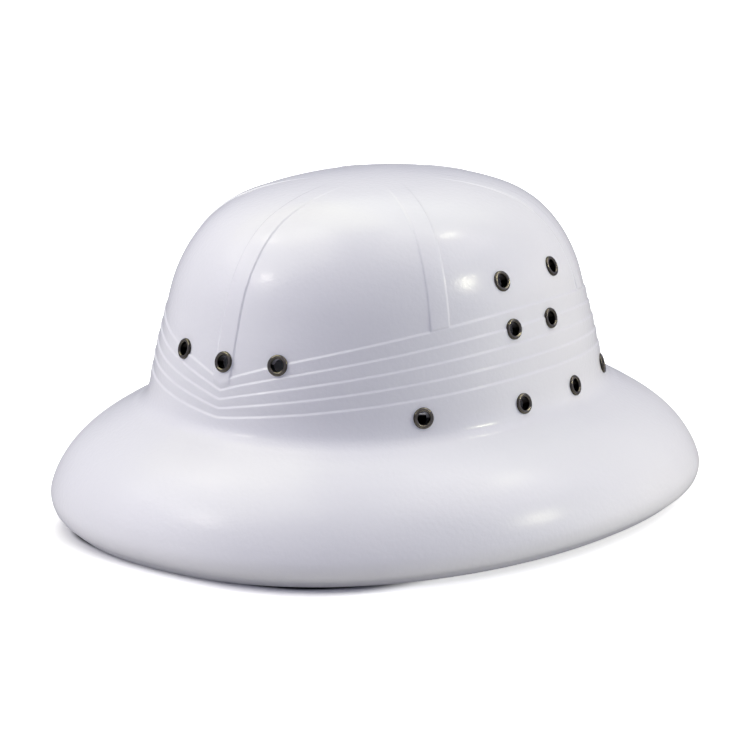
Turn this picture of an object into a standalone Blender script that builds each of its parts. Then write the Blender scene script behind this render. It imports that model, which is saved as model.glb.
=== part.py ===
"""A moulded plastic sun helmet: one white shell with a pleated band and raised strips, and its metal eyelets.

Metres, +Z up. The front of the hat faces -Y and the wearer's left side is +X. The origin is on the floor, at the
middle of the brim's rim. An angle on the hat is counted from the front towards the wearer's left.
"""

import math

import bmesh
import bpy
import numpy as np
from mathutils import Vector

# Overall sizes
BRIM_WIDTH = 0.274
BRIM_LENGTH = 0.312
CROWN_WIDTH = 0.190
CROWN_LENGTH = 0.2255
HEIGHT = 0.1495
FOOT_HEIGHT = 0.0542
WALL = 0.0022

# Lip of the brim: how far the rim is tucked in, how high the widest line is, how much the front and back dip,
# and how wide a stretch of the rim lies flat on the floor there
LIP_TUCK = 0.0076
LIP_HEIGHT = 0.0108
BRIM_DIP = 0.0033
REST_WIDTH = 0.018

# Plan outline: 2 is an ellipse, more is squarer
PLAN_FULLNESS = 2.14

# Pleats of the band: lowest line's height above the crown's foot, and the pitch of the lines, front and side.
# The pitch widens quickly away from the front, as a power of the share of the way to the side.
PLEAT_COUNT = 5
PLEAT_RISE_FRONT = 0.0050
PLEAT_RISE_SIDE = 0.0175
PLEAT_PITCH_FRONT = 0.0038
PLEAT_PITCH_SIDE = 0.0071
PLEAT_PITCH_POWER = 0.65
PLEAT_STEP = 0.0009
PLEAT_LEDGE = 0.0011

# Raised strips up the crown: flat width, rise, width of each sloped edge, and the crown's half width where
# they end, below which they fade in over STRIP_FADE
STRIP_COUNT = 6
STRIP_WIDTH = 0.0080
STRIP_RISE = 0.0006
STRIP_EDGE = 0.0008
STRIP_END_RADIUS = 0.026
STRIP_FADE = 0.012
STRIP_WIDEST_TURN = math.radians(20)

# Eyelets: turned from one profile, set in holes through the shell
EYELET_BORE_RADIUS = 0.0028
EYELET_BARREL_RADIUS = 0.0033
EYELET_FLANGE_RADIUS = 0.0046
EYELET_FLANGE_THICKNESS = 0.0008
EYELET_ROLL_RADIUS = 0.0043
EYELET_ROLL_THICKNESS = 0.0009
EYELET_ROUNDING = 0.0004
GAP = 0.0003
HOLE_REACH = 3 * WALL

# Heights of the eyelets: above the top pleat line at the front or at the side, below it, and above the crown's foot
FRONT_EYELET_RISE = 0.0079
FRONT_PAIR_EYELET_RISE = 0.0093
UPPER_EYELET_RISE = 0.0119
LOWER_EYELET_DROP = 0.0087
FORWARD_FOOT_EYELET_RISE = 0.0069
FOOT_EYELET_RISE = 0.0054

# Brim sections above the lip, from the widest line to the foot of the crown
# reach: share of the overhang beyond the crown; rise: share of the height from the widest line to the foot
BRIM_SECTIONS = (
    ("lip", 1.000, 0.000),
    ("lip_top", 0.969, 0.119),
    ("turn", 0.911, 0.241),
    ("shoulder", 0.836, 0.357),
    ("outer_brim", 0.718, 0.492),
    ("middle_brim", 0.590, 0.602),
    ("inner_brim", 0.364, 0.752),
    ("root", 0.148, 0.876),
    ("fillet", 0.044, 0.946),
    ("foot", 0.000, 1.000),
)

# Crown sections, from just above the foot to the top
# spread: share of the crown's half width and half length; rise: share of the height from the foot to the top
CROWN_SECTIONS = (
    ("wall_low", 0.981, 0.054),
    ("wall_band", 0.967, 0.130),
    ("wall_pleats", 0.946, 0.240),
    ("wall_middle", 0.921, 0.346),
    ("wall_high", 0.894, 0.456),
    ("haunch", 0.864, 0.564),
    ("turn_in", 0.826, 0.655),
    ("round", 0.777, 0.738),
    ("upper_round", 0.716, 0.812),
    ("dome", 0.644, 0.870),
    ("dome_top", 0.536, 0.922),
    ("near_top", 0.420, 0.957),
    ("cap", 0.270, 0.983),
    ("top", 0.000, 1.000),
)

# The lip below its widest line: tuck is the share of LIP_TUCK, rise the share of LIP_HEIGHT
LIP_SECTIONS = (
    ("rim", 1.00, 0.00),
    ("under_lip", 0.54, 0.27),
    ("lip_round", 0.12, 0.58),
)

# Eyelets of one side, repeated on the other: level, angle in degrees from the front
SIDE_EYELETS = (
    ("front_pair", 17.2),
    ("upper", 81.7),
    ("upper", 104.9),
    ("lower", 82.6),
    ("lower", 97.7),
    ("forward_foot", 54.2),
    ("foot", 82.2),
    ("foot", 102.8),
    ("foot", 126.0),
)

# How finely the surfaces are divided
SAMPLES_PER_SECTION = 12
COLUMNS_BETWEEN_STRIPS = 7
CROWN_ROWS = 9
INNER_CROWN_ROWS = 9
EYELET_SIDES = 12
HOLE_SIDES = 16
SMALL_TURN = math.radians(0.5)
SMALL_STEP = 0.0005
SHARP_ANGLE = math.radians(35)

# Columns across a strip: share of its half width, and whether it stands out there
RAISED = STRIP_WIDTH / (STRIP_WIDTH + 2 * STRIP_EDGE)
STRIP_COLUMNS = ((-1.0, False), (-RAISED, True), (0.0, True), (RAISED, True), (1.0, False))
COLUMNS_PER_STRIP = len(STRIP_COLUMNS) + COLUMNS_BETWEEN_STRIPS
COLUMNS = STRIP_COUNT * COLUMNS_PER_STRIP


def smooth_path(points, samples):
    """A smooth curve through the points, as a dense table of its length and points."""
    points = np.array(points)
    steps = np.linalg.norm(np.diff(points, axis=0), axis=1)
    knots = np.concatenate([[0.0], np.cumsum(steps)])
    slopes = np.gradient(points, knots, axis=0)
    slopes[-1, 2] = 0.0
    parts = []
    for i, step in enumerate(steps):
        t = np.linspace(0.0, 1.0, samples, endpoint=False)[:, None]
        parts.append(
            (1 + 2 * t) * (1 - t) ** 2 * points[i]
            + t * (1 - t) ** 2 * step * slopes[i]
            + t**2 * (3 - 2 * t) * points[i + 1]
            + t**2 * (t - 1) * step * slopes[i + 1]
        )
    curve = np.concatenate(parts + [points[-1:]])
    length = np.concatenate([[0.0], np.cumsum(np.linalg.norm(np.diff(curve, axis=0), axis=1))])
    return length, curve


def profile_points():
    """Half width, half length and height of each section, from the rim to the top."""
    lip = np.array([BRIM_WIDTH / 2, BRIM_LENGTH / 2])
    foot = np.array([CROWN_WIDTH / 2, CROWN_LENGTH / 2])
    points = []
    for _, tuck, rise in LIP_SECTIONS:
        points.append((*(lip - tuck * LIP_TUCK), rise * LIP_HEIGHT))
    for _, reach, rise in BRIM_SECTIONS:
        height = LIP_HEIGHT + rise * (FOOT_HEIGHT - LIP_HEIGHT)
        points.append((*(foot + reach * (lip - foot)), height))
    for _, spread, rise in CROWN_SECTIONS:
        points.append((*(spread * foot), FOOT_HEIGHT + rise * (HEIGHT - FOOT_HEIGHT)))
    return points


PATH_LENGTH, PATH = smooth_path(profile_points(), SAMPLES_PER_SECTION)
TOP = PATH_LENGTH[-1]


def section_at(along):
    """Half width, half length and height at a length along the profile."""
    return tuple(float(np.interp(along, PATH_LENGTH, PATH[:, i])) for i in range(3))


def along_at_height(height):
    """Length along the profile where the surface reaches a height."""
    return float(np.interp(height, PATH[:, 2], PATH_LENGTH))


def surface_point(angle, along):
    """Point of the plain outer surface, without pleats and strips."""
    half_width, half_length, height = section_at(along)
    side, ahead = math.sin(angle), math.cos(angle)
    full = (abs(side) ** PLAN_FULLNESS + abs(ahead) ** PLAN_FULLNESS) ** (-1 / PLAN_FULLNESS)
    rest = REST_WIDTH / BRIM_WIDTH
    lift = BRIM_DIP * (max(0.0, abs(side) - rest) / (1 - rest)) ** 2 * max(0.0, 1 - height / FOOT_HEIGHT)
    return Vector((half_width * side * full, -half_length * ahead * full, height + lift))


def surface_normal(angle, along):
    """Outward normal of the plain outer surface."""
    high = min(max(along, 0.0) + SMALL_STEP, TOP - SMALL_STEP)
    low = high - SMALL_STEP
    across = surface_point(angle + SMALL_TURN, low) - surface_point(angle - SMALL_TURN, low)
    up = surface_point(angle, high) - surface_point(angle, low)
    return across.cross(up).normalized()


def pleat_height(line, angle):
    """Height of a pleat line, counted from the lowest as 0. Each is lowest at the front and the back."""
    share = abs(math.sin(angle))
    rise = PLEAT_RISE_FRONT + (PLEAT_RISE_SIDE - PLEAT_RISE_FRONT) * share
    pitch = PLEAT_PITCH_FRONT + (PLEAT_PITCH_SIDE - PLEAT_PITCH_FRONT) * share**PLEAT_PITCH_POWER
    return FOOT_HEIGHT + rise + line * pitch


def strip_angle(strip):
    """Angle of a strip's middle."""
    return math.tau * strip / STRIP_COUNT


def strip_half_turn(strip, along):
    """Angle that half a strip's width takes at this place on the profile."""
    middle = strip_angle(strip)
    chord = surface_point(middle + SMALL_TURN, along) - surface_point(middle - SMALL_TURN, along)
    narrowest = (STRIP_WIDTH / 2 + STRIP_EDGE) * 2 * SMALL_TURN / STRIP_WIDEST_TURN
    return (STRIP_WIDTH / 2 + STRIP_EDGE) * 2 * SMALL_TURN / max(chord.length, narrowest)


def column_place(column, along):
    """Angle of a column of the mesh, and whether a strip stands out there."""
    strip, step = divmod(column, COLUMNS_PER_STRIP)
    half_turn = strip_half_turn(strip, along)
    if step < len(STRIP_COLUMNS):
        share, raised = STRIP_COLUMNS[step]
        return strip_angle(strip) + share * half_turn, raised
    start = strip_angle(strip) + half_turn
    end = strip_angle(strip + 1) - strip_half_turn(strip + 1, along)
    share = (step - len(STRIP_COLUMNS) + 1) / (COLUMNS_BETWEEN_STRIPS + 1)
    return start + share * (end - start), False


def strip_rise(along):
    """How far a strip stands out, which fades near the top of the crown."""
    half_width = section_at(along)[0]
    return STRIP_RISE * min(1.0, max(0.0, (half_width - STRIP_END_RADIUS) / STRIP_FADE))


def plain_row(along, relief):
    """Row of the mesh at one length along the profile: angle, length and relief of every column."""
    return [(column_place(column, along)[0], along, relief) for column in range(COLUMNS)]


def pleat_row(line, edge, relief):
    """Row along a pleat line, at an edge of its ledge. Strips cover the top line, the front one all of it."""
    row = []
    for column in range(COLUMNS):
        along = along_at_height(FOOT_HEIGHT)
        for _ in range(2):
            angle, raised = column_place(column, along)
            along = along_at_height(pleat_height(line, angle) + edge)
        covered = raised and line == PLEAT_COUNT - 1 and (edge > 0 or column < COLUMNS_PER_STRIP)
        row.append((angle, along, strip_rise(along) if covered else relief))
    return row


def crown_row(share, pleats):
    """Row of the crown at a share of the way from the pleats' last row to the top."""
    row = []
    for column, (_, start, _) in enumerate(pleats):
        along = start + share * (TOP - start)
        angle, raised = column_place(column, along)
        row.append((angle, along, strip_rise(along) if raised else 0.0))
    return row


def outer_rows():
    """Rows of the outer surface from the rim up."""
    brim = range(len(LIP_SECTIONS) + len(BRIM_SECTIONS))
    rows = [plain_row(PATH_LENGTH[section * SAMPLES_PER_SECTION], 0.0) for section in brim]
    for line in range(PLEAT_COUNT):
        rows.append(pleat_row(line, -PLEAT_LEDGE / 2, PLEAT_STEP / 2))
        rows.append(pleat_row(line, PLEAT_LEDGE / 2, -PLEAT_STEP / 2))
    pleats = rows[-1]
    for step in range(1, CROWN_ROWS):
        rows.append(crown_row(step / CROWN_ROWS, pleats))
    return rows


def inner_rows():
    """Rows of the inner surface from the rim up, one wall behind the plain outer surface."""
    brim = range(0, len(LIP_SECTIONS) + len(BRIM_SECTIONS), 2)
    rows = [plain_row(PATH_LENGTH[section * SAMPLES_PER_SECTION], -WALL) for section in brim]
    foot = along_at_height(FOOT_HEIGHT)
    for step in range(1, INNER_CROWN_ROWS):
        rows.append(plain_row(foot + step / INNER_CROWN_ROWS * (TOP - foot), -WALL))
    return rows


def relief_point(angle, along, relief):
    """Point of the surface, moved out by the relief along its normal."""
    return surface_point(angle, along) + relief * surface_normal(angle, along)


def rim_inner_point(angle):
    """Point of the rim's inner edge, level with its outer edge and one wall in."""
    point = surface_point(angle, 0.0)
    normal = surface_normal(angle, 0.0)
    flat = Vector((normal.x, normal.y, 0.0)).normalized()
    return point - WALL * flat


def grow_rows(mesh, rows, apex):
    """Adds rings of vertices, joins them with quads and closes them at the apex."""
    rings = [[mesh.verts.new(point) for point in row] for row in rows]
    top = mesh.verts.new(apex)
    for low, high in zip(rings, rings[1:]):
        for i in range(len(low)):
            j = (i + 1) % len(low)
            mesh.faces.new((low[i], low[j], high[j], high[i]))
    for i in range(len(rings[-1])):
        mesh.faces.new((rings[-1][i], rings[-1][(i + 1) % len(rings[-1])], top))
    return rings[0]


def new_object(name, mesh, material):
    """Object from a bmesh, shaded smooth but for its sharp edges."""
    data = bpy.data.meshes.new(name)
    mesh.to_mesh(data)
    mesh.free()
    data.shade_smooth()
    data.set_sharp_from_angle(angle=SHARP_ANGLE)
    data.materials.append(material)
    obj = bpy.data.objects.new(name, data)
    bpy.context.scene.collection.objects.link(obj)
    return obj


def new_material(name, color, roughness, metallic):
    """Principled material with a colour, a roughness and a metallic value."""
    material = bpy.data.materials.new(name)
    material.use_nodes = True
    shader = material.node_tree.nodes["Principled BSDF"]
    shader.inputs["Base Color"].default_value = (*color, 1.0)
    shader.inputs["Roughness"].default_value = roughness
    shader.inputs["Metallic"].default_value = metallic
    return material


def make_shell(material):
    """The moulded shell: crown, pleated band, strips and brim in one wall."""
    mesh = bmesh.new()
    outer = [[relief_point(*spot) for spot in row] for row in outer_rows()]
    inner = [[relief_point(*spot) for spot in row] for row in inner_rows()]
    inner[0] = [rim_inner_point(angle) for angle, _, _ in plain_row(0.0, 0.0)]
    outer_rim = grow_rows(mesh, outer, surface_point(0.0, TOP))
    inner_rim = grow_rows(mesh, inner, surface_point(0.0, TOP) - Vector((0, 0, WALL)))
    for i in range(len(outer_rim)):
        j = (i + 1) % len(outer_rim)
        mesh.faces.new((outer_rim[i], outer_rim[j], inner_rim[j], inner_rim[i]))
    bmesh.ops.recalc_face_normals(mesh, faces=mesh.faces)
    return new_object("shell", mesh, material)


def eyelet_height(level):
    """Height of a level of eyelets, from the pleat line or the foot that it follows."""
    top_at_front = pleat_height(PLEAT_COUNT - 1, 0.0)
    top_at_side = pleat_height(PLEAT_COUNT - 1, math.pi / 2)
    heights = {
        "front": top_at_front + FRONT_EYELET_RISE,
        "front_pair": top_at_front + FRONT_PAIR_EYELET_RISE,
        "upper": top_at_side + UPPER_EYELET_RISE,
        "lower": top_at_side - LOWER_EYELET_DROP,
        "forward_foot": FOOT_HEIGHT + FORWARD_FOOT_EYELET_RISE,
        "foot": FOOT_HEIGHT + FOOT_EYELET_RISE,
    }
    return heights[level]


def eyelet_places():
    """Name, point and outward normal of every eyelet."""
    spots = [("eyelet_front_middle", "front", 0.0)]
    for side, sign in (("left", 1), ("right", -1)):
        for number, (level, degrees) in enumerate(SIDE_EYELETS, start=1):
            spots.append((f"eyelet_{side}_{number}_{level}", level, sign * math.radians(degrees)))
    places = []
    for name, level, angle in spots:
        along = along_at_height(eyelet_height(level))
        places.append((name, surface_point(angle, along), surface_normal(angle, along)))
    return places


def eyelet_mesh():
    """Eyelet turned about +Z, with 0 at the plain outer surface: flange outside, barrel, roll inside."""
    seat = max(STRIP_RISE, PLEAT_STEP / 2) + GAP
    back = -(WALL + EYELET_ROLL_RADIUS**2 / CROWN_WIDTH + 2 * GAP)
    profile = (
        (EYELET_BORE_RADIUS, back - EYELET_ROLL_THICKNESS + EYELET_ROUNDING),
        (EYELET_BORE_RADIUS + EYELET_ROUNDING, back - EYELET_ROLL_THICKNESS),
        (EYELET_ROLL_RADIUS, back - EYELET_ROLL_THICKNESS / 2),
        (EYELET_BARREL_RADIUS, back),
        (EYELET_BARREL_RADIUS, seat),
        (EYELET_FLANGE_RADIUS, seat),
        (EYELET_FLANGE_RADIUS - EYELET_ROUNDING, seat + EYELET_FLANGE_THICKNESS),
        (EYELET_BORE_RADIUS, seat + EYELET_FLANGE_THICKNESS - EYELET_ROUNDING),
    )
    mesh = bmesh.new()
    rings = []
    for radius, height in profile:
        ring = []
        for i in range(EYELET_SIDES):
            turn = math.tau * i / EYELET_SIDES
            ring.append(mesh.verts.new((radius * math.cos(turn), radius * math.sin(turn), height)))
        rings.append(ring)
    for low, high in zip(rings, rings[1:] + rings[:1]):
        for i in range(EYELET_SIDES):
            j = (i + 1) % EYELET_SIDES
            mesh.faces.new((low[i], low[j], high[j], high[i]))
    bmesh.ops.recalc_face_normals(mesh, faces=mesh.faces)
    return mesh


def make_eyelets(places, material):
    """One eyelet in every hole, all sharing one mesh."""
    shared = None
    for name, point, normal in places:
        if shared is None:
            eyelet = new_object(name, eyelet_mesh(), material)
            shared = eyelet.data
        else:
            eyelet = bpy.data.objects.new(name, shared)
            bpy.context.scene.collection.objects.link(eyelet)
        eyelet.location = point
        eyelet.rotation_euler = normal.to_track_quat("Z", "Y").to_euler()


def cut_holes(shell, places):
    """Cuts a hole for each eyelet's barrel through the shell."""
    mesh = bmesh.new()
    radius = EYELET_BARREL_RADIUS + GAP
    for _, point, normal in places:
        turn = normal.to_track_quat("Z", "Y").to_matrix().to_4x4()
        turn.translation = point - normal * WALL / 2
        bmesh.ops.create_cone(
            mesh,
            cap_ends=True,
            segments=HOLE_SIDES,
            radius1=radius,
            radius2=radius,
            depth=2 * HOLE_REACH,
            matrix=turn,
        )
    data = bpy.data.meshes.new("hole_cutters")
    mesh.to_mesh(data)
    mesh.free()
    cutter = bpy.data.objects.new("hole_cutters", data)
    bpy.context.scene.collection.objects.link(cutter)
    cutter.hide_render = True
    cutter.display_type = "WIRE"
    cut = shell.modifiers.new("eyelet holes", "BOOLEAN")
    cut.operation = "DIFFERENCE"
    cut.solver = "EXACT"
    cut.object = cutter


def main():
    for obj in list(bpy.data.objects):
        bpy.data.objects.remove(obj, do_unlink=True)
    plastic = new_material("white gloss plastic", (0.86, 0.87, 0.90), 0.25, 0.0)
    metal = new_material("gunmetal", (0.13, 0.12, 0.11), 0.30, 1.0)
    places = eyelet_places()
    shell = make_shell(plastic)
    cut_holes(shell, places)
    make_eyelets(places, metal)


main()
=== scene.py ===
"""A white moulded plastic sun helmet with dark metal vent eyelets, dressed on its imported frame.

Metres, +Z up. The front of the hat faces -Y and the wearer's left side is +X. An angle on the hat is
counted from the front towards the wearer's left. A length along the profile starts at the rim and ends
at the top of the crown.
"""

import logging
import math
from collections.abc import Mapping
from dataclasses import dataclass, field
from enum import Enum

import bmesh
import bpy
import numpy as np
from mathutils import Matrix, Vector
from mathutils.bvhtree import BVHTree

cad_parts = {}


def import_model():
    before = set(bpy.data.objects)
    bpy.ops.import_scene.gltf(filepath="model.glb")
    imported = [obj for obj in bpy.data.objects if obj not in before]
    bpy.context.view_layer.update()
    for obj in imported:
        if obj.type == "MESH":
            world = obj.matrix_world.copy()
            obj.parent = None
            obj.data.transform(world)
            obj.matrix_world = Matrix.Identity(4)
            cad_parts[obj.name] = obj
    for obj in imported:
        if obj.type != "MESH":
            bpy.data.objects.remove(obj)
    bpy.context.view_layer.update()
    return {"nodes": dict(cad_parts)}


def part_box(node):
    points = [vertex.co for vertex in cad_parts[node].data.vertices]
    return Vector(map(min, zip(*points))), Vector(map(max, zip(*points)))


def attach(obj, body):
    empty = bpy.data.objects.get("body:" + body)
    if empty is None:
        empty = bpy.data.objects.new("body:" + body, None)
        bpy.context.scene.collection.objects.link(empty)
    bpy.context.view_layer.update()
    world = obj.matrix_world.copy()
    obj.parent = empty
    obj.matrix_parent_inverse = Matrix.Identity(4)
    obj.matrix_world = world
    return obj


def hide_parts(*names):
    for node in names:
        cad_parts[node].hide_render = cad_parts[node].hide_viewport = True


SHELL_NODE = "shell"
EYELET_PREFIX = "eyelet_"
BODY = "root"
Colour = tuple[float, float, float]
BLACK: Colour = (0.0, 0.0, 0.0)
WHITE: Colour = (1.0, 1.0, 1.0)
# Numbers of a Mix node's sockets for colours, which share their names with those for other kinds
MIX_LOW = 6
MIX_HIGH = 7
MIX_RESULT = 2

log = logging.getLogger("helmet")


class Slot(Enum):
    """Material slots of the record."""

    PLASTIC = "shell_plastic"
    METAL = "eyelet_metal"


class Ray(Enum):
    """Kinds of ray that a piece of the stage can be hidden from."""

    CAMERA = "camera"
    DIFFUSE = "diffuse"
    GLOSSY = "glossy"
    SHADOW = "shadow"
    TRANSMISSION = "transmission"


class Mark(Enum):
    """Names of the values that the meshes carry at their vertices."""

    TURN = "turn"
    LEVEL = "level"
    HALF_WIDTH = "half_width"
    STRIP_OFFSET = "strip_offset"
    FRONT_STRIP = "front_strip"
    OUTSIDE = "outside"
    OUTWARD = "outward"
    RELIEF = "relief"
    FACING = "facing"
    CREST = "crest"


class Amount:
    """A number socket of a node tree, which adds Math nodes when it stands in an expression."""

    def __init__(self, maker: "NodeMaker", socket: bpy.types.NodeSocket) -> None:
        """Wraps a socket.

        Args:
            maker: Adds the nodes of the tree that the socket belongs to.
            socket: The output socket that gives the number.
        """
        self.maker = maker
        self.socket = socket

    def _math(self, operation: str, *operands: "Amount | float") -> "Amount":
        """Adds one Math node."""
        node = self.maker.add("ShaderNodeMath", {"operation": operation}, dict(enumerate(operands)))
        return Amount(self.maker, node.outputs[0])

    def __add__(self, other: "Amount | float") -> "Amount":
        """Sum."""
        return self._math("ADD", self, other)

    def __radd__(self, other: float) -> "Amount":
        """Sum with a plain number in front."""
        return self._math("ADD", other, self)

    def __sub__(self, other: "Amount | float") -> "Amount":
        """Difference."""
        return self._math("SUBTRACT", self, other)

    def __rsub__(self, other: float) -> "Amount":
        """Difference from a plain number."""
        return self._math("SUBTRACT", other, self)

    def __mul__(self, other: "Amount | float") -> "Amount":
        """Product."""
        return self._math("MULTIPLY", self, other)

    def __rmul__(self, other: float) -> "Amount":
        """Product with a plain number in front."""
        return self._math("MULTIPLY", other, self)

    def __truediv__(self, other: "Amount | float") -> "Amount":
        """Quotient."""
        return self._math("DIVIDE", self, other)

    def __rtruediv__(self, other: float) -> "Amount":
        """Quotient of a plain number in front."""
        return self._math("DIVIDE", other, self)

    def __pow__(self, other: "Amount | float") -> "Amount":
        """Power."""
        return self._math("POWER", self, other)

    def __rpow__(self, other: float) -> "Amount":
        """Power of a plain number in front."""
        return self._math("POWER", other, self)

    def sine(self) -> "Amount":
        """Sine of an angle in radians."""
        return self._math("SINE", self)

    def within(self, low: float, high: float) -> "Amount":
        """The number, or the limit that it has passed."""
        return self._math("MINIMUM", self._math("MAXIMUM", self, low), high)

    def smooth(self, low: "Amount | float", high: "Amount | float") -> "Amount":
        """Goes gently from 0 at the low mark to 1 at the high mark.

        Args:
            low: Where the rise starts.
            high: Where the rise ends.

        Returns:
            A number from 0 to 1.
        """
        sockets = {"Value": self, "From Min": low, "From Max": high}
        node = self.maker.add("ShaderNodeMapRange", {"interpolation_type": "SMOOTHSTEP"}, sockets)
        return Amount(self.maker, node.outputs["Result"])


class NodeMaker:
    """Adds nodes to one tree and joins them."""

    def __init__(self, tree: bpy.types.NodeTree) -> None:
        """Keeps the tree that the nodes go to."""
        self.tree = tree

    def add(
        self,
        kind: str,
        settings: Mapping[str, object] | None = None,
        sockets: Mapping[str | int, object] | None = None,
    ) -> bpy.types.Node:
        """Adds a node.

        Args:
            kind: The node's type.
            settings: The node's own settings, which are set first.
            sockets: Values or links of its input sockets, by name or number.

        Returns:
            The new node.
        """
        node = self.tree.nodes.new(kind)
        for name, value in (settings or {}).items():
            setattr(node, name, value)
        for name, value in (sockets or {}).items():
            socket = node.inputs[name]
            if isinstance(value, Amount):
                self.tree.links.new(value.socket, socket)
            elif isinstance(value, bpy.types.NodeSocket):
                self.tree.links.new(value, socket)
            else:
                socket.default_value = value
        return node

    def amount(self, kind: str, settings: Mapping[str, object], sockets: Mapping[str | int, object],
               output: str | int = 0) -> Amount:
        """Adds a node and gives one of its outputs as a number."""
        return Amount(self, self.add(kind, settings, sockets).outputs[output])

    def mix(self, share: Amount, low: Colour | bpy.types.NodeSocket,
            high: Colour | bpy.types.NodeSocket) -> bpy.types.NodeSocket:
        """Mixes two colours.

        Args:
            share: 0 for the low colour, 1 for the high one.
            low: A colour or a colour socket.
            high: A colour or a colour socket.

        Returns:
            The mixed colour.
        """
        ends = {MIX_LOW: low, MIX_HIGH: high}
        sockets = {i: (*value, 1.0) if isinstance(value, tuple) else value for i, value in ends.items()}
        node = self.add("ShaderNodeMix", {"data_type": "RGBA"}, {"Factor": share, **sockets})
        return node.outputs[MIX_RESULT]


class Modelling(NodeMaker):
    """A Geometry Nodes tree with named inputs, run once on an object and turned into a plain mesh."""

    def __init__(self, name: str) -> None:
        """Makes the tree with a geometry input and output.

        Args:
            name: The tree's name.
        """
        super().__init__(bpy.data.node_groups.new(name, "GeometryNodeTree"))
        self.tree.interface.new_socket("Geometry", in_out="INPUT", socket_type="NodeSocketGeometry")
        self.tree.interface.new_socket("Geometry", in_out="OUTPUT", socket_type="NodeSocketGeometry")
        self.group_input = self.tree.nodes.new("NodeGroupInput")
        self.values: dict[str, object] = {}

    @property
    def geometry(self) -> bpy.types.NodeSocket:
        """The geometry that comes in."""
        return self.group_input.outputs["Geometry"]

    def entry(self, name: str, value: bpy.types.ID | float, kind: str) -> bpy.types.NodeSocket:
        """Adds a named input.

        Args:
            name: The input's name.
            value: The object, the material or the number that it is given.
            kind: The socket's type.

        Returns:
            The input's socket inside the tree.
        """
        self.tree.interface.new_socket(name, in_out="INPUT", socket_type=kind)
        self.values[name] = value
        return self.group_input.outputs[name]

    def size(self, name: str, value: float) -> Amount:
        """Adds a named input for a number."""
        return Amount(self, self.entry(name, value, "NodeSocketFloat"))

    def material(self, name: str, value: bpy.types.Material) -> bpy.types.NodeSocket:
        """Adds a named input for a material."""
        return self.entry(name, value, "NodeSocketMaterial")

    def shape(self, name: str, value: bpy.types.Object) -> bpy.types.NodeSocket:
        """Adds a named input for an object, and reads its geometry."""
        sockets = {"Object": self.entry(name, value, "NodeSocketObject")}
        return self.add("GeometryNodeObjectInfo", {}, sockets).outputs["Geometry"]

    def _carried(self, mark: Mark, kind: str) -> bpy.types.NodeSocket:
        """Reads a value that the mesh carries."""
        named = self.add("GeometryNodeInputNamedAttribute", {"data_type": kind}, {"Name": mark.value})
        return named.outputs["Attribute"]

    def mark(self, mark: Mark) -> Amount:
        """Reads a number that the mesh carries."""
        return Amount(self, self._carried(mark, "FLOAT"))

    def facing(self) -> bpy.types.NodeSocket:
        """Reads the direction that each vent's point carries, as a rotation of +Z."""
        sockets = {"Vector": self._carried(Mark.FACING, "FLOAT_VECTOR")}
        return self.add("FunctionNodeAlignRotationToVector", {"axis": "Z"}, sockets).outputs["Rotation"]

    def move_out(self, geometry: bpy.types.NodeSocket, amount: Amount) -> bpy.types.NodeSocket:
        """Moves a surface along the outward direction that it carries.

        Args:
            geometry: The surface.
            amount: How far each vertex goes.

        Returns:
            The moved surface.
        """
        sockets = {"Vector": self._carried(Mark.OUTWARD, "FLOAT_VECTOR"), "Scale": amount}
        offset = self.add("ShaderNodeVectorMath", {"operation": "SCALE"}, sockets).outputs["Vector"]
        return self.add("GeometryNodeSetPosition", {}, {"Geometry": geometry, "Offset": offset}).outputs[0]

    def finish(self, geometry: bpy.types.NodeSocket, material: bpy.types.NodeSocket) -> None:
        """Realizes the instances, sets the material and ends the tree.

        Args:
            geometry: What the tree has made.
            material: The input socket that holds the finish.
        """
        real = self.add("GeometryNodeRealizeInstances", {}, {"Geometry": geometry})
        sockets = {"Geometry": real.outputs[0], "Material": material}
        dressed = self.add("GeometryNodeSetMaterial", {}, sockets)
        self.add("NodeGroupOutput", {}, {"Geometry": dressed.outputs[0]})

    def run(self, blank: bpy.types.Object, name: str) -> bpy.types.Object:
        """Runs the tree on an object and gives the result as a plain mesh object in its place.

        Args:
            blank: The object that the tree starts from, which is removed.
            name: The new object's name.

        Returns:
            The finished object, with no modifier.
        """
        modifier = blank.modifiers.new(self.tree.name, "NODES")
        modifier.node_group = self.tree
        for item in self.tree.interface.items_tree:
            if item.item_type == "SOCKET" and item.in_out == "INPUT" and item.name in self.values:
                modifier[item.identifier] = self.values[item.name]
        bpy.context.view_layer.update()
        evaluated = blank.evaluated_get(bpy.context.evaluated_depsgraph_get())
        mesh = bpy.data.meshes.new_from_object(evaluated)
        mesh.name = name
        bpy.data.objects.remove(blank)
        return new_object(name, mesh)


def new_object(name: str, data: bpy.types.ID) -> bpy.types.Object:
    """Adds an object at the origin for a mesh, a lamp or a camera.

    Args:
        name: The object's name.
        data: Its mesh, lamp or camera.

    Returns:
        The object.
    """
    made = bpy.data.objects.new(name, data)
    bpy.context.scene.collection.objects.link(made)
    return made


def finished_mesh(name: str, draft: bmesh.types.BMesh) -> bpy.types.Mesh:
    """Turns a draft into a mesh.

    Args:
        name: The mesh's name.
        draft: The draft, which is freed.

    Returns:
        The mesh.
    """
    mesh = bpy.data.meshes.new(name)
    draft.to_mesh(mesh)
    draft.free()
    return mesh


def set_mark(mesh: bpy.types.Mesh, mark: Mark, values: np.ndarray) -> None:
    """Stores a number or a direction at every vertex of a mesh.

    Args:
        mesh: The mesh.
        mark: What the values are.
        values: One number, or one row of three, for each vertex.
    """
    is_vector = values.ndim == 2
    layer = mesh.attributes.new(mark.value, "FLOAT_VECTOR" if is_vector else "FLOAT", "POINT")
    layer.data.foreach_set("vector" if is_vector else "value", values.astype(np.float32).ravel())


@dataclass(frozen=True)
class Section:
    """One section of the profile, as shares of the sizes that it follows."""

    name: str
    across: float
    rise: float


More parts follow.
